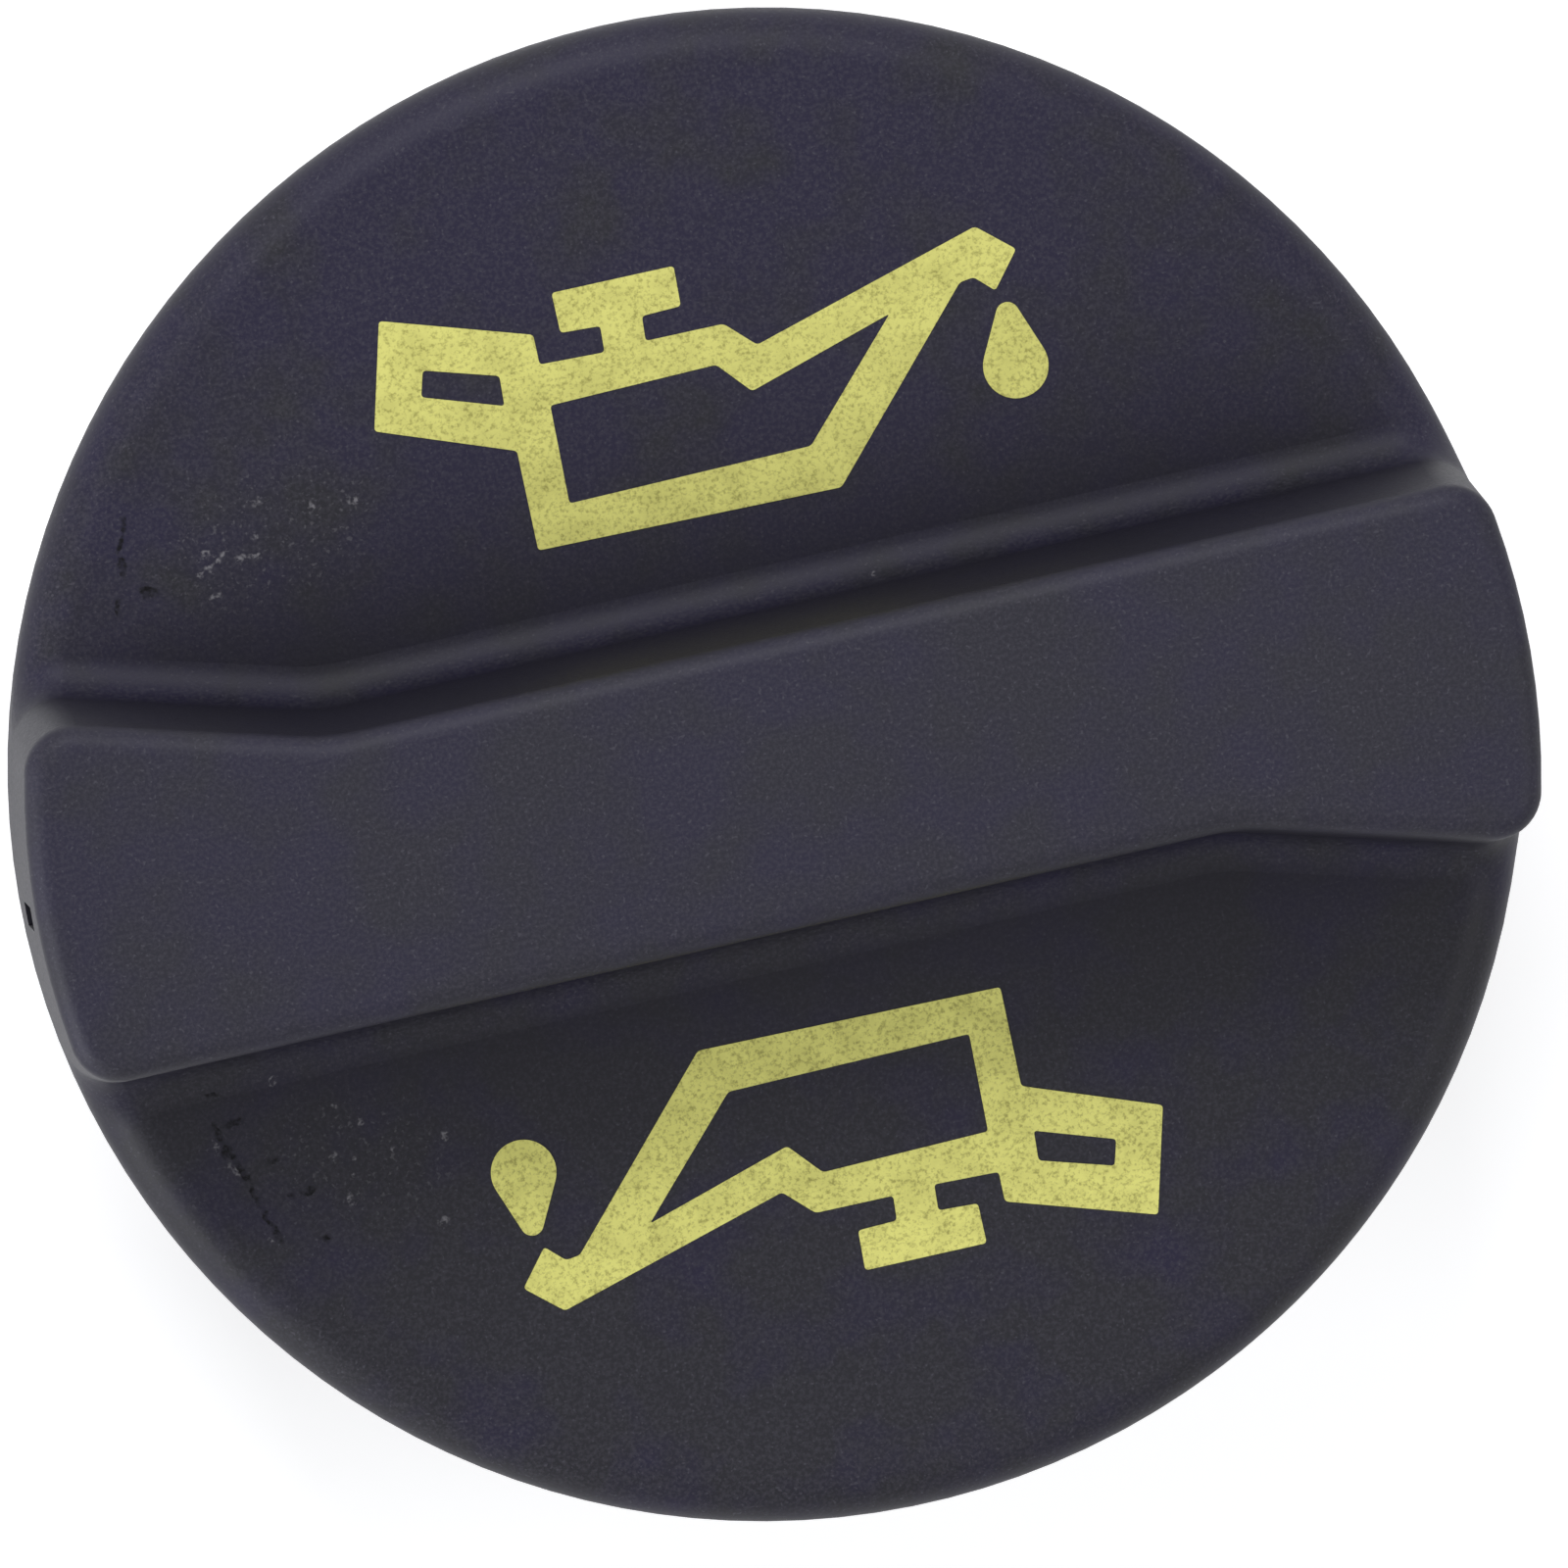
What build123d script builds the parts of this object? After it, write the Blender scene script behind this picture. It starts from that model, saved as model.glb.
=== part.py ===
"""Oil filler cap: a moulded cap body with a grip bar and a bayonet spigot, and its loose gasket.

Millimetres, +Z up. The axis of the cap is Z, the grip runs along X, and Z = 0 is the open end of the
spigot, on which the cap can stand. The cap closes clockwise as seen from above.
"""
import os
from math import radians, tan

from build123d import *

# Cap: deck, rim and skirt
cap_diameter = 62.5
deck_thickness = 2.6
skirt_height = 9.0
skirt_wall = 2.2
skirt_draft = 6.0
rim_drop = 2.6
rim_radius = 2.0
edge_break = 0.5

# Grip bar across the deck
grip_height = 11.0
grip_width = 13.25
grip_draft = 4.1
grip_end_draft = 2.1
grip_wall = 2.6
flare_start = 17.5
flare_angle = 15.5
flare_bend_radius = 8.0
root_radius = 1.7
crest_radius = 1.0

# Recess of the moulding gate in one end of the grip
gate_width = 1.0
gate_height = 4.5
gate_depth = 1.2
gate_rise = 4.2
gate_offset = 1.1

# Bayonet spigot and its two lugs
spigot_diameter = 31.0
spigot_length = 20.0
spigot_wall = 2.2
pilot_length = 5.0
pilot_step = 0.3
lug_diameter = 38.0
lug_width = 13.0
lug_thickness = 3.4
lug_rise = 1.2
lug_lead_in = 1.0
stop_height = 3.0
stop_width = 2.0

# Gasket and its seat under the deck
gasket_diameter = 45.2
gasket_base = 2.2
gasket_clearance = 0.1
bead_height = 1.2
bead_width = 2.6
bead_gap = 0.6
seat_ring_wall = 1.4
seat_ring_height = 2.6

# Stiffening ribs between the seat ring and the skirt
rib_count = 12
rib_thickness = 1.2
rib_height = 2.0

# Heights and radii that follow
cap_radius = cap_diameter / 2
seat_z = spigot_length
deck_z = seat_z + deck_thickness
crest_z = deck_z + grip_height
rim_z = deck_z - rim_drop
skirt_z = deck_z - skirt_height
skirt_inner_radius = cap_radius - skirt_wall
skirt_end_radius = cap_radius - (rim_z - skirt_z) * tan(radians(skirt_draft))
crest_end_radius = cap_radius - (crest_z - rim_z) * tan(radians(grip_end_draft))
spigot_radius = spigot_diameter / 2
bore_radius = spigot_radius - spigot_wall
pilot_radius = spigot_radius - pilot_step
lug_radius = lug_diameter / 2
lug_top_z = pilot_length + lug_thickness
gasket_radius = gasket_diameter / 2
gasket_inner_radius = spigot_radius + gasket_clearance
gasket_base_z = seat_z - gasket_base
gasket_face_z = gasket_base_z - bead_height
bead_inner_radius = lug_radius + bead_gap
bead_outer_radius = bead_inner_radius + bead_width
ring_inner_radius = gasket_radius + gasket_clearance
ring_outer_radius = ring_inner_radius + seat_ring_wall
ring_z = seat_z - seat_ring_height
rib_space = skirt_inner_radius - ring_outer_radius
core_width = grip_width - 2 * grip_wall
core_depth = crest_z - grip_wall - seat_z
flare_reach = (cap_diameter - flare_start) * tan(radians(flare_angle))

# The space for the fingers on both sides of the grip: all above the deck that is not grip
with BuildPart() as finger_space:
    with BuildSketch(Plane.XY.offset(deck_z)):
        Circle(cap_diameter)
    extrude(amount=grip_height + 1)
    with BuildSketch(Plane.XY.offset(deck_z)) as grip_plan:
        with BuildLine():
            Polyline(
                (cap_diameter, grip_width / 2),
                (-flare_start, grip_width / 2),
                (-cap_diameter, grip_width / 2 + flare_reach),
                (-cap_diameter, -grip_width / 2),
                (flare_start, -grip_width / 2),
                (cap_diameter, -grip_width / 2 - flare_reach),
                close=True,
            )
        make_face()
        bends = grip_plan.vertices().filter_by(lambda v: abs(v.X) < cap_radius)
        fillet(bends, flare_bend_radius)
    extrude(amount=grip_height + 1, taper=grip_draft, mode=Mode.SUBTRACT)

# The lug on the +X side: its top rises against the closing turn and ends in a stop
with BuildPart() as lug:
    with BuildSketch(Plane.YZ):
        with BuildLine():
            Polyline(
                (-lug_width / 2, pilot_length),
                (lug_width / 2, pilot_length),
                (lug_width / 2, lug_top_z + lug_rise + stop_height),
                (lug_width / 2 - stop_width, lug_top_z + lug_rise + stop_height),
                (lug_width / 2 - stop_width, lug_top_z + lug_rise),
                (lug_lead_in - lug_width / 2, lug_top_z),
                (-lug_width / 2, lug_top_z - lug_lead_in),
                close=True,
            )
        make_face()
    extrude(amount=lug_diameter)
    with BuildSketch(Plane.XY):
        Circle(lug_radius)
        Circle(spigot_radius - spigot_wall / 2, mode=Mode.SUBTRACT)
    extrude(amount=spigot_length, mode=Mode.INTERSECT)
    tip_edges = lug.edges().filter_by(Axis.Z).filter_by(lambda e: e.center().X > spigot_radius)
    fillet(tip_edges, edge_break)

with BuildPart() as cap_body:
    # The outside, turned as tall as the grip all over and widest just below the rim
    with BuildSketch(Plane.XZ):
        with BuildLine():
            Polyline(
                (0, crest_z),
                (crest_end_radius, crest_z),
                (cap_radius, rim_z),
                (skirt_end_radius, skirt_z),
                (0, skirt_z),
                close=True,
            )
        make_face()
    revolve(axis=Axis.Z)
    # The finger space cut away, then the blends at the foot of the grip, at the rim and at the crest
    add(finger_space.part, mode=Mode.SUBTRACT)
    deck_edges = cap_body.edges().filter_by_position(Axis.Z, deck_z, deck_z)
    fillet(deck_edges.filter_by(lambda e: abs(e.center().Y) < cap_radius / 2), root_radius)
    deck_arcs = cap_body.edges().filter_by_position(Axis.Z, deck_z, deck_z).filter_by(GeomType.CIRCLE)
    fillet(deck_arcs.filter_by(lambda e: e.radius > cap_radius / 2), rim_radius)
    fillet(cap_body.faces().sort_by(Axis.Z)[-1].edges(), crest_radius)
    # The gate's recess, sunk into the grip's end from outside
    with BuildSketch(Plane.YZ.offset(-cap_radius)):
        with Locations((gate_offset, deck_z + gate_rise)):
            Rectangle(gate_width, gate_height)
    extrude(amount=gate_depth, mode=Mode.SUBTRACT)
    # The hollow of the skirt, then the seat ring and the spigot in it
    with BuildSketch(Plane.XY.offset(skirt_z)):
        Circle(skirt_inner_radius)
    extrude(amount=seat_z - skirt_z, mode=Mode.SUBTRACT)
    fillet(cap_body.faces().sort_by(Axis.Z)[0].edges(), edge_break)
    with BuildSketch(Plane.XZ) as seat_section:
        with BuildLine():
            Polyline(
                (ring_outer_radius, deck_z),
                (ring_outer_radius, ring_z),
                (ring_inner_radius, ring_z),
                (ring_inner_radius, seat_z),
                (spigot_radius, seat_z),
                (spigot_radius, pilot_length),
                (pilot_radius, pilot_length - pilot_step),
                (pilot_radius, 0),
                (bore_radius, 0),
                (bore_radius, deck_z),
                close=True,
            )
        make_face()
        end_corners = seat_section.vertices().filter_by(lambda v: v.Y < edge_break)
        ring_corners = seat_section.vertices().filter_by(lambda v: abs(v.Y - ring_z) < edge_break)
        fillet(end_corners + ring_corners, edge_break)
    revolve(axis=Axis.Z)
    # The grip cored out from below, inside the spigot and outside the seat ring
    with BuildSketch(Plane.XY.offset(seat_z)):
        SlotOverall(2 * bore_radius - spigot_wall, core_width)
    extrude(amount=core_depth, taper=grip_draft, mode=Mode.SUBTRACT)
    with BuildSketch(Plane.XY.offset(seat_z)):
        Circle(skirt_inner_radius - edge_break)
        Circle(ring_outer_radius + edge_break, mode=Mode.SUBTRACT)
        Rectangle(cap_diameter, core_width, mode=Mode.INTERSECT)
    extrude(amount=core_depth, taper=grip_draft / 2, mode=Mode.SUBTRACT)
    # Ribs under the deck, and the lugs
    with BuildSketch(Plane.XY.offset(seat_z)):
        with PolarLocations(ring_outer_radius + rib_space / 2, rib_count, start_angle=180 / rib_count):
            Rectangle(rib_space + edge_break, rib_thickness)
    extrude(amount=-rib_height)
    add(lug.part)
    add(lug.part.rotate(Axis.Z, 180))

with BuildPart() as gasket:
    with BuildSketch(Plane.XZ) as gasket_section:
        with BuildLine():
            Polyline(
                (gasket_inner_radius, seat_z),
                (gasket_radius, seat_z),
                (gasket_radius, gasket_base_z),
                (bead_outer_radius, gasket_base_z),
                (bead_outer_radius, gasket_face_z),
                (bead_inner_radius, gasket_face_z),
                (bead_inner_radius, gasket_base_z),
                (gasket_inner_radius, gasket_base_z),
                close=True,
            )
        make_face()
        bead_corners = gasket_section.vertices().filter_by(lambda v: v.Y < gasket_base_z - bead_height / 2)
        fillet(bead_corners, edge_break)
    revolve(axis=Axis.Z)

os.makedirs("parts", exist_ok=True)
cap_body.part.label = "cap_body"
export_step(cap_body.part, "parts/cap_body.step")
gasket.part.label = "gasket"
export_step(gasket.part, "parts/gasket.step")
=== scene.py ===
"""Looks, stage and camera of an oil filler cap: eroded black nylon, a rubber gasket and printed signs."""
from math import cos, radians, sin

import bpy
import numpy as np
from bpy.props import FloatProperty, FloatVectorProperty, IntProperty, PointerProperty
from bpy.types import Operator, Panel, PropertyGroup
from mathutils import Matrix, Vector
from mathutils.geometry import tessellate_polygon


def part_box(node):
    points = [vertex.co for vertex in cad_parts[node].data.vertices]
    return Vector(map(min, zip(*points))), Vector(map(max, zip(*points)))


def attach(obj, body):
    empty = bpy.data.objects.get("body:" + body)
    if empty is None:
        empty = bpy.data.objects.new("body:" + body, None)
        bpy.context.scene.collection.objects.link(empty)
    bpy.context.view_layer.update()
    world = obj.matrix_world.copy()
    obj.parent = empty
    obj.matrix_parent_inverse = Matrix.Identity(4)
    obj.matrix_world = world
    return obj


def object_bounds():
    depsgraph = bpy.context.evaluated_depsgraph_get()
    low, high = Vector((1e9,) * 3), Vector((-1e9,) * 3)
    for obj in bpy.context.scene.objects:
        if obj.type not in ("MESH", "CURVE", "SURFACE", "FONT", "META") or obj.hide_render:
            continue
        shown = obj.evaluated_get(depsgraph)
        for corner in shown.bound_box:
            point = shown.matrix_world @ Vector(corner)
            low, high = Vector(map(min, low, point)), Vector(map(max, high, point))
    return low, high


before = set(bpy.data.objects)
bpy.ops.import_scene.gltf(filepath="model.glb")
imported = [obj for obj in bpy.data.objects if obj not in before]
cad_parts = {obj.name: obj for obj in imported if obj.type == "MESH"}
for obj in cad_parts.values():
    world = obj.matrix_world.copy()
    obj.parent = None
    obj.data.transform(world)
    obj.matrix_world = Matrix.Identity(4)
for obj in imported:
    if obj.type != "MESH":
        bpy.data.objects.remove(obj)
CAD_BOX = [list(corner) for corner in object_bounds()]

bl_info = {
    "name": "Oil Filler Cap",
    "version": (1, 0, 0),
    "blender": (4, 5, 0),
    "location": "3D View > Sidebar > Oil Cap",
    "description": "Dresses the packed oil filler cap and sets it on a studio floor",
    "category": "Object",
}

MM = 0.001
GRIP_HEIGHT = 11.0 * MM
CREST_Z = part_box("cap_body")[1].z
DECK_Z = CREST_Z - GRIP_HEIGHT

# The oil-can sign behind the grip, in millimetres on the deck. The one in front is the same, half a turn on.
CAN_OUTLINE = np.array([
    (-11.63, 21.49), (-5.58, 19.55), (-5.59, 18.30), (-2.88, 18.21), (-2.82, 19.30), (-4.47, 19.38),
    (-4.47, 21.06), (0.66, 21.04), (0.59, 19.37), (-1.06, 19.32), (-1.13, 18.29), (2.14, 18.27),
    (3.31, 17.13), (13.09, 19.90), (14.55, 18.63), (13.35, 17.15), (12.59, 17.88), (11.99, 17.80),
    (5.41, 10.66), (-7.31, 10.87), (-7.27, 15.05), (-12.80, 17.12),
])
HANDLE_HOLE = np.array([(-10.32, 19.12), (-7.30, 18.21), (-7.37, 16.96), (-10.62, 18.06)])
BODY_HOLE = np.array([
    (-5.53, 16.57), (-5.64, 12.47), (4.56, 12.59), (8.90, 17.18), (2.69, 15.32), (1.48, 16.70),
])
DROP_BELLY = np.array((13.50, 13.96))
DROP_TIP = np.array((13.63, 16.11))
DROP_BELLY_RADIUS = 1.35
DROP_TIP_RADIUS = 0.48
CORNER_REACH = 0.45

# Marks of handling on the deck: middle, half length and half width in millimetres, and turn in degrees.
PALE_MARKS = (
    (-20.64, 13.75, 0.30, 0.14, -12), (-20.15, 13.45, 0.34, 0.18, 40), (-20.62, 13.14, 0.26, 0.22, 0),
    (-21.06, 12.98, 0.16, 0.13, 0), (-19.27, 13.24, 0.26, 0.20, 0), (-18.74, 13.24, 0.30, 0.15, 12),
    (-20.63, 11.98, 0.40, 0.16, -10), (-18.48, 14.00, 0.26, 0.16, 0), (-18.22, 15.35, 0.22, 0.15, 0),
    (-16.04, 14.61, 0.34, 0.17, 80), (-14.25, 14.53, 0.22, 0.18, 0), (-19.62, -10.43, 0.22, 0.20, 0),
    (-21.00, -11.61, 0.18, 0.15, 0), (-20.21, -11.79, 0.20, 0.15, 0), (-20.33, -12.51, 0.16, 0.16, 0),
    (-20.68, -13.50, 0.34, 0.17, 80), (-20.41, -9.55, 0.24, 0.13, -12), (-22.79, -8.01, 0.22, 0.14, 60),
    (-18.52, -11.80, 0.20, 0.16, 90), (-16.36, -11.76, 0.32, 0.18, 100), (-17.13, -15.15, 0.24, 0.18, 0),
    (-25.62, -10.19, 0.42, 0.11, -80), (-25.02, -11.30, 0.40, 0.11, -66), (-24.33, -14.33, 0.14, 0.14, 0),
    (5.87, 6.93, 0.20, 0.14, 30),
)
DARK_MARKS = (
    (-23.68, 15.60, 0.48, 0.16, 72), (-23.95, 14.95, 0.56, 0.14, 66), (-24.11, 13.95, 0.62, 0.18, 88),
    (-23.26, 12.74, 0.56, 0.22, -24), (-24.65, 12.39, 0.40, 0.17, 70), (-25.30, -8.02, 0.38, 0.14, -12),
    (-24.73, -9.31, 0.54, 0.22, 10), (-25.38, -9.62, 0.62, 0.17, -83), (-25.19, -10.44, 0.56, 0.24, -68),
    (-24.74, -11.38, 0.76, 0.21, -66), (-24.50, -12.45, 0.62, 0.16, -75), (-24.20, -13.50, 0.56, 0.14, -74),
    (-23.90, -14.22, 0.50, 0.20, -70), (-23.50, -11.20, 0.36, 0.18, 0), (-23.07, -12.75, 0.30, 0.17, 0),
    (-22.33, -12.76, 0.38, 0.20, 20), (-22.05, -14.81, 0.34, 0.15, -12),
)
WORN_ZONES = ((-18.0, 14.0, 6.5, 3.6, 10), (-20.0, -12.0, 5.0, 3.4, -20))
MARK_DEPTH = 2 * MM
MARK_CORE = 0.55

# A layer of a skin comes up between two LEVELS of the noise, ambient occlusion or slope that it follows.
WHOLE = (0.0, 1.0)

# Layers of the nylon: grey patches, a painted highlight on the crest, grain, flecks, painted shade on steep
# and occluded faces, scuffs, scratches and relief
PATCH_LEVELS = (0.38, 0.62)
GREYING_SPAN = (-14 * MM, 14 * MM)
GREYING = (0.10, -0.08)
# Depth below the crest over which the painted highlight comes in
CREST_HIGHLIGHT_DEPTH = 1.65 * MM
GRAIN_LEVELS = (0.42, 0.72)
FLECK_LEVELS = (0.70, 0.82)
FLECK_PER_GRAIN = 0.9
# Painted shade: the ambient occlusion and upward-facing levels over which the nylon goes from its shade colour
# to its own colour
UNOCCLUDED_LEVELS = (0.49, 0.79)
UPWARD_LIT_LEVELS = (0.0, 0.7)
OCCLUSION_SAMPLES = 8
RAGGED_SIZE = 0.36 * MM
RAGGED_REACH = 0.26 * MM
CRUMB_SIZE = 0.24 * MM
CRUMB_LEVELS = (0.42, 0.62)
SPECK_LEVELS = (0.60, 0.70)
SPECK_SHARE = 0.3
SCRATCH_SHARES = (0.4, 1.0)
SCRATCH_ROUGHNESS = 0.35
RELIEF_LEVELS = (0.25, 0.75)
RELIEF_ROUGHNESS = 0.08
PIT_PER_GRAIN = 1.7
PIT_HEIGHT = 0.6

# Layers of the rubber: bloom, and the dust that the grain holds
BLOOM_LEVELS = (0.45, 0.75)
DUST_LEVELS = (0.3, 0.7)
DUST_SHARES = (0.4, 1.0)
SATIN_LEVELS = (0.3, 0.7)
BARE_SMOOTHNESS = 0.1
BLOOM_ROUGHNESS = 0.12

# Layers of the ink: thin on the grain and in clouds, and painted lighter on the sign in front, as painted
# light against the grip's shadow
INK_GRAIN_LEVELS = (0.30, 0.52)
INK_GRAIN_SHARES = (0.70, 0.0)
INK_CLOUD_LEVELS = (0.35, 0.6)
INK_CLOUD_SHARES = (0.25, 0.0)
FRONT_LIGHT_SPAN = (10 * MM, -10 * MM)

# Softboxes: place and side in metres, and colour. Their powers are studio settings.
SOFTBOXES = {
    "back": ((-0.012, 0.334, 0.324), 0.24, (0.97, 0.97, 1.0)),
    "right": ((0.334, -0.156, 0.431), 0.26, (1.0, 1.0, 1.0)),
    "left": ((-0.500, -0.152, 0.197), 0.26, (0.97, 0.98, 1.0)),
}
WHITE = (1.0, 1.0, 1.0)

# Paper floor
FLOOR_LINES = 21
FIBRE_SIZE = 1.5 * MM
FIBRE_SHADE = 0.97
PAPER_ROUGHNESS = 0.9
PAPER_SPECULAR = 0.2


class CapPlasticSettings(PropertyGroup):
    """Finish of the moulded cap body."""

    base_colour: FloatVectorProperty(
        name="Nylon", description="Colour of the black nylon",
        default=(0.0126, 0.0106, 0.0292), subtype="COLOR", size=3, min=0, max=1,
    )
    neutral_colour: FloatVectorProperty(
        name="Grey nylon", description="Colour of its greyer patches",
        default=(0.0130, 0.0127, 0.0177), subtype="COLOR", size=3, min=0, max=1,
    )
    # Painted shade: the darker colour given to steep faces and to faces occluded by the cap's own walls
    painted_shade_colour: FloatVectorProperty(
        name="Sheltered nylon", description="Colour of steep and sheltered faces, which have not faded",
        default=(0.0038, 0.0033, 0.0085), subtype="COLOR", size=3, min=0, max=1,
    )
    # Painted highlight: a paler colour on the top of the grip's crest
    crest_highlight_colour: FloatVectorProperty(
        name="Rubbed nylon", description="Colour that the crest of the grip takes on under hands",
        default=(0.029, 0.028, 0.043), subtype="COLOR", size=3, min=0, max=1,
    )
    crest_highlight_share: FloatProperty(
        name="Rubbing", description="How far the crest has taken on that colour",
        default=0.38, min=0, max=1, subtype="FACTOR",
    )
    fleck_colour: FloatVectorProperty(
        name="Flecks", description="Colour of the fibre flecks in the skin",
        default=(0.075, 0.072, 0.090), subtype="COLOR", size=3, min=0, max=1,
    )
    fleck_share: FloatProperty(
        name="Fleck strength", description="How strongly the flecks show",
        default=0.5, min=0, max=1, subtype="FACTOR",
    )
    scuff_colour: FloatVectorProperty(
        name="Scuffs", description="Colour of pale scuffs",
        default=(0.17, 0.165, 0.18), subtype="COLOR", size=3, min=0, max=1,
    )
    # Scratches are real marks; their very dark colour is partly painted shade of the grooves
    scratch_shade_colour: FloatVectorProperty(
        name="Scratches", description="Colour in the dark scratches",
        default=(0.002, 0.002, 0.003), subtype="COLOR", size=3, min=0, max=1,
    )
    roughness: FloatProperty(
        name="Roughness", description="Mean roughness of the eroded skin",
        default=0.55, min=0, max=1, subtype="FACTOR",
    )
    specular: FloatProperty(
        name="Specular", description="Specular level of the skin",
        default=0.22, min=0, max=1, subtype="FACTOR",
    )
    grain_size: FloatProperty(
        name="Grain size", description="Size of one eroded grain",
        default=0.16 * MM, unit="LENGTH", precision=6,
    )
    grain_depth: FloatProperty(
        name="Grain depth", description="Depth of the eroded grain",
        default=0.012 * MM, unit="LENGTH", precision=6,
    )
    grain_share: FloatProperty(
        name="Grain paleness", description="How pale the tops of the grain are",
        default=0.36, min=0, max=1, subtype="FACTOR",
    )
    grain_strength: FloatProperty(
        name="Grain strength", description="Strength of the grain's relief",
        default=0.55, min=0, max=1, subtype="FACTOR",
    )
    patch_size: FloatProperty(
        name="Patch size", description="Size of the lilac and grey patches",
        default=4 * MM, unit="LENGTH", precision=6,
    )
    # Reach of the ambient occlusion that sets the painted shade
    painted_shade_reach: FloatProperty(
        name="Shelter reach", description="How far a wall shelters the faces beside it",
        default=14 * MM, unit="LENGTH", precision=6,
    )


class SignInkSettings(PropertyGroup):
    """Shape and finish of the printed signs."""

    ink_colour: FloatVectorProperty(
        name="Ink", description="Colour of full ink",
        default=(0.755, 0.735, 0.208), subtype="COLOR", size=3, min=0, max=1,
    )
    # Painted light: the sign in front is inked lighter, against the shadow the grip casts on it
    front_lit_colour: FloatVectorProperty(
        name="Front ink", description="Colour of full ink on the sign in front",
        default=(0.86, 0.84, 0.237), subtype="COLOR", size=3, min=0, max=1,
    )
    thin_colour: FloatVectorProperty(
        name="Thin ink", description="Colour where the ink lies thin on the grain",
        default=(0.33, 0.31, 0.075), subtype="COLOR", size=3, min=0, max=1,
    )
    cloud_size: FloatProperty(
        name="Cloud size", description="Size of the clouds of thinner ink",
        default=1.6 * MM, unit="LENGTH", precision=6,
    )
    roughness: FloatProperty(
        name="Roughness", description="Mean roughness of the ink",
        default=0.5, min=0, max=1, subtype="FACTOR",
    )
    specular: FloatProperty(
        name="Specular", description="Specular level of the ink",
        default=0.35, min=0, max=1, subtype="FACTOR",
    )
    grain_strength: FloatProperty(
        name="Grain strength", description="Strength of the nylon's grain in the ink",
        default=0.4, min=0, max=1, subtype="FACTOR",
    )
    film_height: FloatProperty(
        name="Film height", description="Height of the ink above the deck",
        default=0.03 * MM, unit="LENGTH", precision=6,
    )
    film_root: FloatProperty(
        name="Film root", description="How far the ink reaches into the deck",
        default=0.01 * MM, unit="LENGTH", precision=6,
    )
    corner_radius: FloatProperty(
        name="Corner radius", description="Rounding of the print's corners",
        default=0.16 * MM, unit="LENGTH", precision=6,
    )
    corner_steps: IntProperty(
        name="Corner steps", description="Points along each rounded corner", default=6, min=2, max=16,
    )


class GasketRubberSettings(PropertyGroup):
    """Finish of the gasket."""

    base_colour: FloatVectorProperty(
        name="Rubber", description="Colour of the rubber",
        default=(0.020, 0.019, 0.018), subtype="COLOR", size=3, min=0, max=1,
    )
    bloom_colour: FloatVectorProperty(
        name="Bloom", description="Colour of the dusty bloom on the rubber",
        default=(0.060, 0.058, 0.055), subtype="COLOR", size=3, min=0, max=1,
    )
    bloom_share: FloatProperty(
        name="Bloom strength", description="How strongly the bloom shows",
        default=0.7, min=0, max=1, subtype="FACTOR",
    )
    bloom_size: FloatProperty(
        name="Bloom size", description="Size of the patches of bloom",
        default=5 * MM, unit="LENGTH", precision=6,
    )
    roughness: FloatProperty(
        name="Roughness", description="Mean roughness of the rubber",
        default=0.58, min=0, max=1, subtype="FACTOR",
    )
    specular: FloatProperty(
        name="Specular", description="Specular level of the rubber",
        default=0.35, min=0, max=1, subtype="FACTOR",
    )
    grain_size: FloatProperty(
        name="Grain size", description="Size of the moulded grain",
        default=0.22 * MM, unit="LENGTH", precision=6,
    )
    grain_depth: FloatProperty(
        name="Grain depth", description="Depth of the moulded grain",
        default=0.015 * MM, unit="LENGTH", precision=6,
    )
    grain_strength: FloatProperty(
        name="Grain strength", description="Strength of the grain's relief",
        default=0.5, min=0, max=1, subtype="FACTOR",
    )


class StudioSettings(PropertyGroup):
    """Camera, lamps and floor."""

    camera_distance: FloatProperty(
        name="Camera distance", description="From the deck's centre to the camera",
        default=0.69, unit="LENGTH",
    )
    camera_lean: FloatProperty(
        name="Camera lean", description="Angle of the view off the cap's axis",
        default=radians(4.7026), subtype="ANGLE",
    )
    camera_heading: FloatProperty(
        name="Camera heading", description="Side the camera leans to, from +X",
        default=radians(125.464), subtype="ANGLE",
    )
    camera_roll: FloatProperty(
        name="Camera roll", description="Turn of the picture's upright from +Y",
        default=radians(12.6), subtype="ANGLE",
    )
    aim: FloatVectorProperty(
        name="Aim", description="Point at the middle of the picture",
        default=(0.4446 * MM, -0.7296 * MM, DECK_Z), subtype="XYZ", unit="LENGTH", size=3, precision=5,
    )
    lens: FloatProperty(
        name="Lens", description="Focal length in millimetres", default=385.57, min=1,
    )
    back_power: FloatProperty(
        name="Back power", description="Power of the softbox behind the grip", default=1.25, unit="POWER",
    )
    right_power: FloatProperty(
        name="Right power", description="Power of the softbox on the right", default=0.78, unit="POWER",
    )
    left_power: FloatProperty(
        name="Left power", description="Power of the low softbox on the left", default=2.2, unit="POWER",
    )
    fill_colour: FloatVectorProperty(
        name="Fill colour", description="Colour of the even light from all round",
        default=(0.96, 0.97, 1.0), subtype="COLOR", size=3, min=0, max=1,
    )
    fill_strength: FloatProperty(
        name="Fill", description="Strength of the even light from all round", default=0.15, min=0,
    )
    floor_colour: FloatVectorProperty(
        name="Floor", description="Colour of the paper floor",
        default=(0.86, 0.86, 0.87), subtype="COLOR", size=3, min=0, max=1,
    )
    floor_lift: FloatProperty(
        name="Floor lift", description="Light that the floor adds for the camera and for reflections",
        default=0.55, min=0, max=1,
    )
    floor_size: FloatProperty(
        name="Floor size", description="Side of the square floor", default=3.0, unit="LENGTH",
    )


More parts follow.
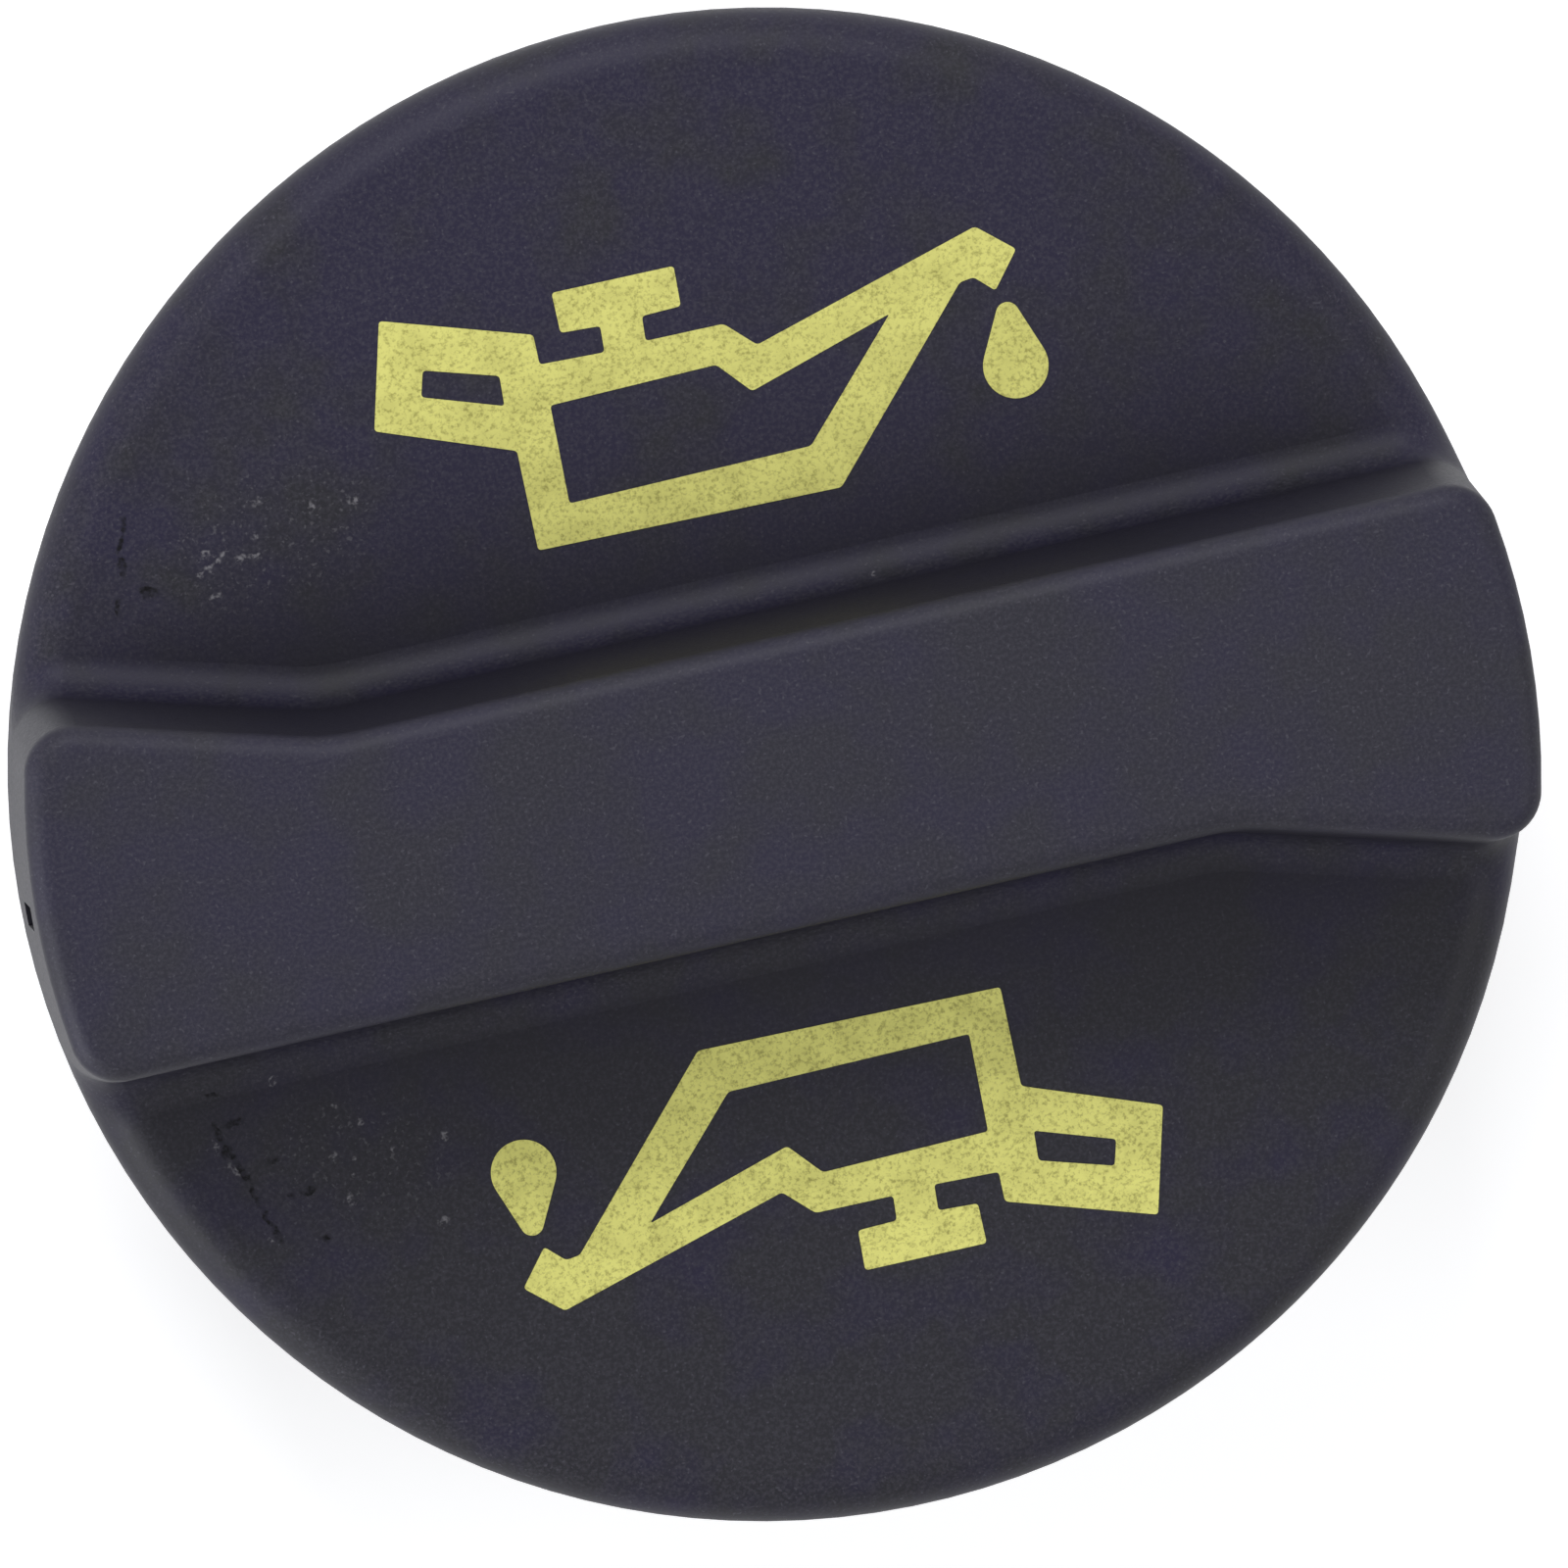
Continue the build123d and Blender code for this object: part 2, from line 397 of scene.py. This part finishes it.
class OilCapSettings(PropertyGroup):
    """All settings of the oil filler cap."""

    plastic: PointerProperty(type=CapPlasticSettings, name="Plastic", description="Finish of the cap body")
    ink: PointerProperty(type=SignInkSettings, name="Ink", description="Printed signs")
    rubber: PointerProperty(type=GasketRubberSettings, name="Rubber", description="Finish of the gasket")
    studio: PointerProperty(type=StudioSettings, name="Studio", description="Camera, lamps and floor")


def new_material(name):
    """A material with its shader and output in an otherwise empty node tree."""
    material = bpy.data.materials.new(name)
    material.use_nodes = True
    tree = material.node_tree
    tree.nodes.clear()
    shader = tree.nodes.new("ShaderNodeBsdfPrincipled")
    output = tree.nodes.new("ShaderNodeOutputMaterial")
    tree.links.new(shader.outputs["BSDF"], output.inputs["Surface"])
    return material, tree, shader


def is_linked(value):
    """Whether a value is another node's output."""
    return isinstance(value, bpy.types.NodeSocket)


def add_node(tree, kind, sockets=None, **settings):
    """A node of one kind. Settings go on the node; a socket takes a value or the output it is linked to."""
    node = tree.nodes.new(kind)
    for name, value in settings.items():
        setattr(node, name, value)
    for name, value in (sockets or {}).items():
        if is_linked(value):
            tree.links.new(value, node.inputs[name])
        else:
            node.inputs[name].default_value = value
    return node


def opaque(colour):
    """A colour with its alpha."""
    return (*colour, 1.0)


def object_place(tree):
    """The point on the surface in the cap's own frame, in metres."""
    return add_node(tree, "ShaderNodeTexCoord").outputs["Object"]


def noise(tree, place, size, detail=2.0, roughness=0.6):
    """Cloudy noise from 0 to 1 whose patches are about size metres across."""
    sockets = {"Vector": place, "Scale": 1 / size, "Detail": detail, "Roughness": roughness}
    return add_node(tree, "ShaderNodeTexNoise", sockets).outputs["Fac"]


def cells(tree, place, size):
    """Distance to the nearest of scattered points about size metres apart, in cell sizes."""
    sockets = {"Vector": place, "Scale": 1 / size}
    return add_node(tree, "ShaderNodeTexVoronoi", sockets, feature="F1").outputs["Distance"]


def remap(tree, value, levels, results=WHOLE):
    """A value carried from a pair of levels to a pair of results, and kept between the results."""
    low, high = levels
    to_low, to_high = results
    sockets = {"Value": value, "From Min": low, "From Max": high, "To Min": to_low, "To Max": to_high}
    return add_node(tree, "ShaderNodeMapRange", sockets, clamp=True).outputs["Result"]


def component(tree, vector, axis):
    """The X, Y or Z of a vector."""
    return add_node(tree, "ShaderNodeSeparateXYZ", {"Vector": vector}).outputs[axis]


def arithmetic(tree, operation, first, second):
    """One sum, product or comparison of two values."""
    return add_node(tree, "ShaderNodeMath", {0: first, 1: second}, operation=operation).outputs["Value"]


def blend_colours(tree, share, first, second):
    """The first colour where the share is 0, and the second where it is 1. The node's two colours are sockets
    6 and 7, and its blended colour is output 2."""
    ends = [colour if is_linked(colour) else opaque(colour) for colour in (first, second)]
    sockets = {0: share, 6: ends[0], 7: ends[1]}
    return add_node(tree, "ShaderNodeMix", sockets, data_type="RGBA").outputs[2]


def emboss(tree, shader, height, strength, depth):
    """Gives a shader the relief of a height from 0 to 1."""
    bump = add_node(tree, "ShaderNodeBump", {"Height": height, "Strength": strength, "Distance": depth})
    tree.links.new(bump.outputs["Normal"], shader.inputs["Normal"])


def marks(tree, place, table):
    """Share of a table's elliptic marks: 1 in the core of a mark, falling to 0 where the distance from the
    nearest middle is 1, in half lengths along the mark, half widths across it and mark depths off the deck."""
    nearest = None
    for x, y, half_length, half_width, degrees in table:
        sockets = {
            "Vector": place,
            "Location": (x * MM, y * MM, DECK_Z),
            "Rotation": (0.0, 0.0, radians(degrees)),
            "Scale": (half_length * MM, half_width * MM, MARK_DEPTH),
        }
        inside = add_node(tree, "ShaderNodeMapping", sockets, vector_type="TEXTURE").outputs["Vector"]
        distance = add_node(tree, "ShaderNodeVectorMath", {0: inside}, operation="LENGTH").outputs["Value"]
        nearest = distance if nearest is None else arithmetic(tree, "MINIMUM", nearest, distance)
    return remap(tree, nearest, (MARK_CORE, 1.0), (1.0, 0.0))


def wander(tree, place, size, reach):
    """The place moved about by cloudy noise, by up to reach metres each way."""
    sockets = {"Vector": place, "Scale": 1 / size, "Detail": 2.0}
    cloud = add_node(tree, "ShaderNodeTexNoise", sockets).outputs["Color"]
    centred = add_node(tree, "ShaderNodeVectorMath", {0: cloud, 1: (0.5, 0.5, 0.5)}, operation="SUBTRACT")
    widened = {0: centred.outputs["Vector"], 1: (2 * reach,) * 3, 2: place}
    return add_node(tree, "ShaderNodeVectorMath", widened, operation="MULTIPLY_ADD").outputs["Vector"]


def patched_colour_with_crest_highlight(tree, place, plastic):
    """Lilac nylon with grey patches, greyest in front of the grip, and a painted highlight that makes the
    crest paler.
    """
    patches = noise(tree, place, plastic.patch_size, detail=3.0, roughness=0.55)
    greying = remap(tree, component(tree, place, "Y"), GREYING_SPAN, GREYING)
    grey = remap(tree, arithmetic(tree, "ADD", patches, greying), PATCH_LEVELS)
    colour = blend_colours(tree, grey, plastic.base_colour, plastic.neutral_colour)
    # Painted highlight: paler colour over the top of the crest
    crest = (CREST_Z - CREST_HIGHLIGHT_DEPTH, CREST_Z)
    crest_highlight = remap(tree, component(tree, place, "Z"), crest, (0.0, plastic.crest_highlight_share))
    return blend_colours(tree, crest_highlight, colour, plastic.crest_highlight_colour)


def painted_light_share(tree, reach):
    """Share of painted light: 1 on open faces that look up, falling to 0, which is painted shade, where a face
    is steep or where the cap's walls within reach occlude it."""
    sockets = {"Distance": reach}
    occlusion = add_node(tree, "ShaderNodeAmbientOcclusion", sockets, samples=OCCLUSION_SAMPLES, only_local=True)
    facing = add_node(tree, "ShaderNodeTexCoord").outputs["Normal"]
    unoccluded = remap(tree, occlusion.outputs["AO"], UNOCCLUDED_LEVELS)
    upward = remap(tree, component(tree, facing, "Z"), UPWARD_LIT_LEVELS)
    return arithmetic(tree, "MINIMUM", unoccluded, upward)


def handling_wear(tree, place):
    """Shares of the pale scuffs and of the dark scratches. Both are ragged and broken up by fine crumbs."""
    ragged = wander(tree, place, RAGGED_SIZE, RAGGED_REACH)
    crumbs = noise(tree, place, CRUMB_SIZE)
    broken = remap(tree, crumbs, CRUMB_LEVELS)
    scattered = remap(tree, crumbs, SPECK_LEVELS, (0.0, SPECK_SHARE))
    specks = arithmetic(tree, "MULTIPLY", marks(tree, place, WORN_ZONES), scattered)
    scuffs = arithmetic(tree, "MULTIPLY", marks(tree, ragged, PALE_MARKS), broken)
    uneven = remap(tree, broken, WHOLE, SCRATCH_SHARES)
    scratches = arithmetic(tree, "MULTIPLY", marks(tree, ragged, DARK_MARKS), uneven)
    return arithmetic(tree, "MAXIMUM", specks, scuffs), scratches


def moulded_nylon(plastic):
    """Black nylon with an eroded grain and pale fibre flecks, with painted shade on steep and occluded faces
    and a painted highlight on the crest, marked by handling; the dark colour of the scratches is partly
    painted shade.
    """
    material, tree, shader = new_material("moulded_nylon")
    place = object_place(tree)
    grain = noise(tree, place, plastic.grain_size)
    flecks = noise(tree, place, FLECK_PER_GRAIN * plastic.grain_size, detail=0.0)
    pale_grain = remap(tree, grain, GRAIN_LEVELS, (0.0, plastic.grain_share))
    pale_flecks = remap(tree, flecks, FLECK_LEVELS, (0.0, plastic.fleck_share))
    scuffs, scratches = handling_wear(tree, place)
    colour = patched_colour_with_crest_highlight(tree, place, plastic)
    colour = blend_colours(tree, pale_grain, colour, plastic.fleck_colour)
    colour = blend_colours(tree, pale_flecks, colour, plastic.fleck_colour)
    # Painted shade: the darker colour on steep faces and where the cap's walls occlude a face
    colour = blend_colours(tree, painted_light_share(tree, plastic.painted_shade_reach), plastic.painted_shade_colour, colour)
    colour = blend_colours(tree, scuffs, colour, plastic.scuff_colour)
    # Dark scratches: real marks whose dark colour is partly painted shade of their grooves
    colour = blend_colours(tree, scratches, colour, plastic.scratch_shade_colour)
    tree.links.new(colour, shader.inputs["Base Color"])
    rough_range = (plastic.roughness - RELIEF_ROUGHNESS, plastic.roughness + RELIEF_ROUGHNESS)
    skin = remap(tree, grain, RELIEF_LEVELS, rough_range)
    torn = remap(tree, scratches, WHOLE, (0.0, SCRATCH_ROUGHNESS))
    tree.links.new(arithmetic(tree, "ADD", skin, torn), shader.inputs["Roughness"])
    shader.inputs["Specular IOR Level"].default_value = plastic.specular
    pits = cells(tree, place, PIT_PER_GRAIN * plastic.grain_size)
    relief = arithmetic(tree, "ADD", grain, arithmetic(tree, "MULTIPLY", pits, PIT_HEIGHT))
    emboss(tree, shader, relief, plastic.grain_strength, plastic.grain_depth)
    return material


def moulded_rubber(rubber):
    """Satin black rubber with a fine moulded grain and a dusty bloom in patches."""
    material, tree, shader = new_material("moulded_rubber")
    place = object_place(tree)
    grain = noise(tree, place, rubber.grain_size, detail=3.0)
    bloom = noise(tree, place, rubber.bloom_size, detail=4.0)
    patches = remap(tree, bloom, BLOOM_LEVELS, (0.0, rubber.bloom_share))
    dust = remap(tree, grain, DUST_LEVELS, DUST_SHARES)
    share = arithmetic(tree, "MULTIPLY", patches, dust)
    colour = blend_colours(tree, share, rubber.base_colour, rubber.bloom_colour)
    tree.links.new(colour, shader.inputs["Base Color"])
    rough_range = (rubber.roughness - BARE_SMOOTHNESS, rubber.roughness + BLOOM_ROUGHNESS)
    tree.links.new(remap(tree, bloom, SATIN_LEVELS, rough_range), shader.inputs["Roughness"])
    shader.inputs["Specular IOR Level"].default_value = rubber.specular
    emboss(tree, shader, grain, rubber.grain_strength, rubber.grain_depth)
    return material


def sign_ink(ink, plastic):
    """Yellow ink, mottled where it lies thin on the grain of the deck, with that grain showing through. The
    sign in front of the grip is painted lighter, as painted light against the grip's shadow on it."""
    material, tree, shader = new_material("sign_ink")
    place = object_place(tree)
    grain = noise(tree, place, plastic.grain_size)
    clouds = noise(tree, place, ink.cloud_size, detail=4.0, roughness=0.65)
    thin_on_grain = remap(tree, grain, INK_GRAIN_LEVELS, INK_GRAIN_SHARES)
    thin_in_clouds = remap(tree, clouds, INK_CLOUD_LEVELS, INK_CLOUD_SHARES)
    thin = arithmetic(tree, "ADD", thin_on_grain, thin_in_clouds)
    # Painted light: the sign in front of the grip is lighter, against the grip's shadow on it
    front = remap(tree, component(tree, place, "Y"), FRONT_LIGHT_SPAN)
    full = blend_colours(tree, front, ink.ink_colour, ink.front_lit_colour)
    colour = blend_colours(tree, thin, full, ink.thin_colour)
    tree.links.new(colour, shader.inputs["Base Color"])
    rough_range = (ink.roughness - RELIEF_ROUGHNESS, ink.roughness + RELIEF_ROUGHNESS)
    tree.links.new(remap(tree, grain, RELIEF_LEVELS, rough_range), shader.inputs["Roughness"])
    shader.inputs["Specular IOR Level"].default_value = ink.specular
    emboss(tree, shader, grain, ink.grain_strength, plastic.grain_depth)
    return material


def rounded_loop(corners, radius, steps):
    """A closed loop with rounded corners. Each corner C becomes the parabola (1-t)^2 A + 2t(1-t) C + t^2 B,
    for t from 0 to 1, where A and B lie on the two sides, a radius from C or at most the corner reach, which
    is a share of the side."""
    before = np.roll(corners, 1, axis=0) - corners
    after = np.roll(corners, -1, axis=0) - corners
    before_length = np.linalg.norm(before, axis=1, keepdims=True)
    after_length = np.linalg.norm(after, axis=1, keepdims=True)
    start = corners + before / before_length * np.minimum(radius, CORNER_REACH * before_length)
    end = corners + after / after_length * np.minimum(radius, CORNER_REACH * after_length)
    t = np.linspace(0.0, 1.0, steps)[None, :, None]
    arcs = (1 - t) ** 2 * start[:, None] + 2 * t * (1 - t) * corners[:, None] + t ** 2 * end[:, None]
    return arcs.reshape(-1, 2)


def circle_arc(centre, radius, angles):
    """Points centre + radius (cos a, sin a) for each angle a."""
    return centre + radius * np.stack([np.cos(angles), np.sin(angles)], axis=1)


def drop_loop(steps=40):
    """A falling drop: an arc of the belly circle and one of the tip circle, joined by their common tangents.
    These touch both circles at an angle off the drop's axis whose cosine is the difference of the radii over
    the distance of the centres."""
    along = DROP_TIP - DROP_BELLY
    distance = np.hypot(*along)
    heading = np.arctan2(along[1], along[0])
    touch = np.arccos((DROP_BELLY_RADIUS - DROP_TIP_RADIUS) / distance)
    belly = np.linspace(heading + touch, heading + 2 * np.pi - touch, steps)
    tip = np.linspace(heading - touch, heading + touch, steps // 2)
    belly_arc = circle_arc(DROP_BELLY, DROP_BELLY_RADIUS, belly)
    tip_arc = circle_arc(DROP_TIP, DROP_TIP_RADIUS, tip)
    return np.concatenate([belly_arc, tip_arc])


def signed_area(points):
    """Area inside a closed loop by the shoelace sum, positive where it runs anticlockwise."""
    following = np.roll(points, -1, axis=0)
    return 0.5 * np.sum(points[:, 0] * following[:, 1] - points[:, 1] * following[:, 0])


def film(loops, low, high):
    """A flat closed film: the area inside the first loop and outside the others, as a lid at the high level,
    the same turned over at the low level, and a wall between them along each loop. Returns vertices and
    triangles."""
    turned = []
    for index, loop in enumerate(loops):
        anticlockwise = signed_area(loop) > 0
        outermost = index == 0
        turned.append(loop if anticlockwise == outermost else loop[::-1])
    points = np.concatenate(turned)
    count = len(points)
    lid = np.array(tessellate_polygon([[Vector((x, y, 0)) for x, y in loop] for loop in turned]))
    first, second, third = (points[lid[:, corner]] for corner in range(3))
    side = second - first
    other = third - first
    backwards = side[:, 0] * other[:, 1] - side[:, 1] * other[:, 0] < 0
    lid[backwards] = lid[backwards][:, ::-1]
    starts = np.cumsum([0] + [len(loop) for loop in turned[:-1]])
    here = np.arange(count)
    following = np.concatenate([
        start + np.roll(np.arange(len(loop)), -1) for start, loop in zip(starts, turned)
    ])
    wall = np.concatenate([
        np.stack([here + count, following + count, following], axis=1),
        np.stack([here + count, following, here], axis=1),
    ])
    vertices = np.concatenate([
        np.column_stack([points, np.full(count, high)]),
        np.column_stack([points, np.full(count, low)]),
    ])
    return vertices, np.concatenate([lid, lid[:, ::-1] + count, wall])


def add_piece(name, vertices, triangles, material):
    """A mesh object at the origin with its place in its vertices."""
    mesh = bpy.data.meshes.new(name)
    mesh.from_pydata(vertices.tolist(), [], triangles.tolist())
    mesh.materials.append(material)
    mesh.update()
    piece = bpy.data.objects.new(name, mesh)
    bpy.context.scene.collection.objects.link(piece)
    return piece


def dress_node(name, material):
    """Gives a CAD node its material in every slot."""
    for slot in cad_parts[name].material_slots:
        slot.material = material


class OILCAP_OT_mould_body(Operator):
    """Give the cap body its moulded nylon skin"""

    bl_idname = "oil_cap.mould_body"
    bl_label = "Mould Body"

    def execute(self, context):
        dress_node("cap_body", moulded_nylon(context.scene.oil_cap.plastic))
        return {"FINISHED"}


class OILCAP_OT_mould_gasket(Operator):
    """Give the gasket its rubber skin"""

    bl_idname = "oil_cap.mould_gasket"
    bl_label = "Mould Gasket"

    def execute(self, context):
        dress_node("gasket", moulded_rubber(context.scene.oil_cap.rubber))
        return {"FINISHED"}


class OILCAP_OT_print_signs(Operator):
    """Print an oil can and its drop on the deck behind the grip and in front of it"""

    bl_idname = "oil_cap.print_signs"
    bl_label = "Print Signs"

    def execute(self, context):
        ink = context.scene.oil_cap.ink
        material = sign_ink(ink, context.scene.oil_cap.plastic)
        radius = ink.corner_radius / MM
        outlines = (CAN_OUTLINE, HANDLE_HOLE, BODY_HOLE)
        can = [rounded_loop(loop, radius, ink.corner_steps) * MM for loop in outlines]
        drop = [drop_loop() * MM]
        low = DECK_Z - ink.film_root
        high = DECK_Z + ink.film_height
        for side, way in (("back", 1.0), ("front", -1.0)):
            for shape, loops in (("oil_can", can), ("oil_drop", drop)):
                vertices, triangles = film([way * loop for loop in loops], low, high)
                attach(add_piece(f"{shape}_{side}", vertices, triangles, material), "root")
        return {"FINISHED"}


def camera_frame(studio):
    """Turn and place of the camera. The view leans off the axis to its heading and looks at the aim, and its
    upright is +Y turned by the roll."""
    heading = Vector((cos(studio.camera_heading), sin(studio.camera_heading), 0.0))
    towards = heading * sin(studio.camera_lean) + Vector((0.0, 0.0, cos(studio.camera_lean)))
    place = Vector((0.0, 0.0, DECK_Z)) + studio.camera_distance * towards
    backward = (place - Vector(studio.aim)).normalized()
    upright = Vector((sin(studio.camera_roll), cos(studio.camera_roll), 0.0))
    right = upright.cross(backward).normalized()
    up = backward.cross(right)
    return Matrix((right, up, backward)).transposed().to_4x4(), place


def add_camera(studio):
    """The camera at the photograph's angle."""
    data = bpy.data.cameras.new("camera")
    data.lens = studio.lens
    camera = bpy.data.objects.new("camera", data)
    turn, place = camera_frame(studio)
    camera.matrix_world = Matrix.Translation(place) @ turn
    bpy.context.scene.collection.objects.link(camera)
    bpy.context.scene.camera = camera


def add_softbox(name, power):
    """A square lamp at its place in the table of softboxes, facing the deck's centre."""
    place, side, colour = SOFTBOXES[name]
    data = bpy.data.lights.new(name, "AREA")
    data.shape = "SQUARE"
    data.size = side
    data.energy = power
    data.color = colour
    lamp = bpy.data.objects.new(name, data)
    lamp.location = place
    lamp.rotation_euler = (Vector(place) - Vector((0, 0, DECK_Z))).to_track_quat("Z", "Y").to_euler()
    bpy.context.scene.collection.objects.link(lamp)


def seen_directly(tree):
    """1 for rays from the camera, from a glossy surface or through a clear one, and 0 for all others."""
    path = add_node(tree, "ShaderNodeLightPath")
    shiny = arithmetic(tree, "MAXIMUM", path.outputs["Is Glossy Ray"], path.outputs["Is Transmission Ray"])
    return arithmetic(tree, "MAXIMUM", path.outputs["Is Camera Ray"], shiny)


def floor_paper(studio):
    """Pale paper with a faint fibre. It adds light for the camera and for reflections, so that it shows white
    while the cap's shadow stays."""
    material, tree, shader = new_material("paper_floor")
    fibre = noise(tree, object_place(tree), FIBRE_SIZE, detail=4.0)
    pale = tuple(studio.floor_colour)
    shaded = tuple(FIBRE_SHADE * channel for channel in pale)
    tree.links.new(blend_colours(tree, fibre, shaded, pale), shader.inputs["Base Color"])
    shader.inputs["Roughness"].default_value = PAPER_ROUGHNESS
    shader.inputs["Specular IOR Level"].default_value = PAPER_SPECULAR
    shader.inputs["Emission Color"].default_value = opaque(WHITE)
    lift = arithmetic(tree, "MULTIPLY", seen_directly(tree), studio.floor_lift)
    tree.links.new(lift, shader.inputs["Emission Strength"])
    return material


def add_floor(studio):
    """A square grid of the floor's two coordinates at the level the cap stands on."""
    lines = np.linspace(-studio.floor_size / 2, studio.floor_size / 2, FLOOR_LINES)
    u, v = np.meshgrid(lines, lines)
    level = np.full_like(u, CAD_BOX[0][2])
    vertices = np.stack([u, v, level], axis=2).reshape(-1, 3)
    index = np.arange(u.size).reshape(u.shape)
    low = np.stack([index[:-1, :-1], index[:-1, 1:], index[1:, 1:]], axis=2).reshape(-1, 3)
    high = np.stack([index[:-1, :-1], index[1:, 1:], index[1:, :-1]], axis=2).reshape(-1, 3)
    add_piece("floor", vertices, np.concatenate([low, high]), floor_paper(studio))


def light_world(studio):
    """An even dome for light, shown as plain white to the camera and in reflections."""
    world = bpy.data.worlds.new("studio")
    bpy.context.scene.world = world
    world.use_nodes = True
    tree = world.node_tree
    tree.nodes.clear()
    fill = {"Color": opaque(studio.fill_colour), "Strength": studio.fill_strength}
    dome = add_node(tree, "ShaderNodeBackground", fill)
    white = add_node(tree, "ShaderNodeBackground", {"Color": opaque(WHITE), "Strength": 1.0})
    layers = {0: seen_directly(tree), 1: dome.outputs["Background"], 2: white.outputs["Background"]}
    mix = add_node(tree, "ShaderNodeMixShader", layers)
    add_node(tree, "ShaderNodeOutputWorld", {"Surface": mix.outputs["Shader"]})


class OILCAP_OT_set_stage(Operator):
    """Set the floor, the lamps and the camera"""

    bl_idname = "oil_cap.set_stage"
    bl_label = "Set Stage"

    def execute(self, context):
        studio = context.scene.oil_cap.studio
        context.scene.view_settings.view_transform = "Standard"
        add_floor(studio)
        light_world(studio)
        add_softbox("back", studio.back_power)
        add_softbox("right", studio.right_power)
        add_softbox("left", studio.left_power)
        add_camera(studio)
        return {"FINISHED"}


class OILCAP_PT_sidebar(Panel):
    """Steps and settings of the oil filler cap"""

    bl_label = "Oil Filler Cap"
    bl_idname = "OILCAP_PT_sidebar"
    bl_space_type = "VIEW_3D"
    bl_region_type = "UI"
    bl_category = "Oil Cap"

    def draw(self, context):
        settings = context.scene.oil_cap
        for operator, group in STEPS:
            box = self.layout.box()
            box.operator(operator.bl_idname)
            values = getattr(settings, group)
            for name in values.__annotations__:
                box.prop(values, name)


STEPS = (
    (OILCAP_OT_mould_body, "plastic"),
    (OILCAP_OT_mould_gasket, "rubber"),
    (OILCAP_OT_print_signs, "ink"),
    (OILCAP_OT_set_stage, "studio"),
)
CLASSES = (
    CapPlasticSettings,
    SignInkSettings,
    GasketRubberSettings,
    StudioSettings,
    OilCapSettings,
    OILCAP_OT_mould_body,
    OILCAP_OT_mould_gasket,
    OILCAP_OT_print_signs,
    OILCAP_OT_set_stage,
    OILCAP_PT_sidebar,
)


def register():
    """Registers the classes and the scene's settings."""
    for cls in CLASSES:
        bpy.utils.register_class(cls)
    bpy.types.Scene.oil_cap = PointerProperty(type=OilCapSettings)


def unregister():
    """Takes back what register did."""
    del bpy.types.Scene.oil_cap
    for cls in reversed(CLASSES):
        bpy.utils.unregister_class(cls)


def main():
    """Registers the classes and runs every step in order."""
    register()
    bpy.ops.oil_cap.mould_body()
    bpy.ops.oil_cap.mould_gasket()
    bpy.ops.oil_cap.print_signs()
    bpy.ops.oil_cap.set_stage()


if __name__ == "__main__":
    main()
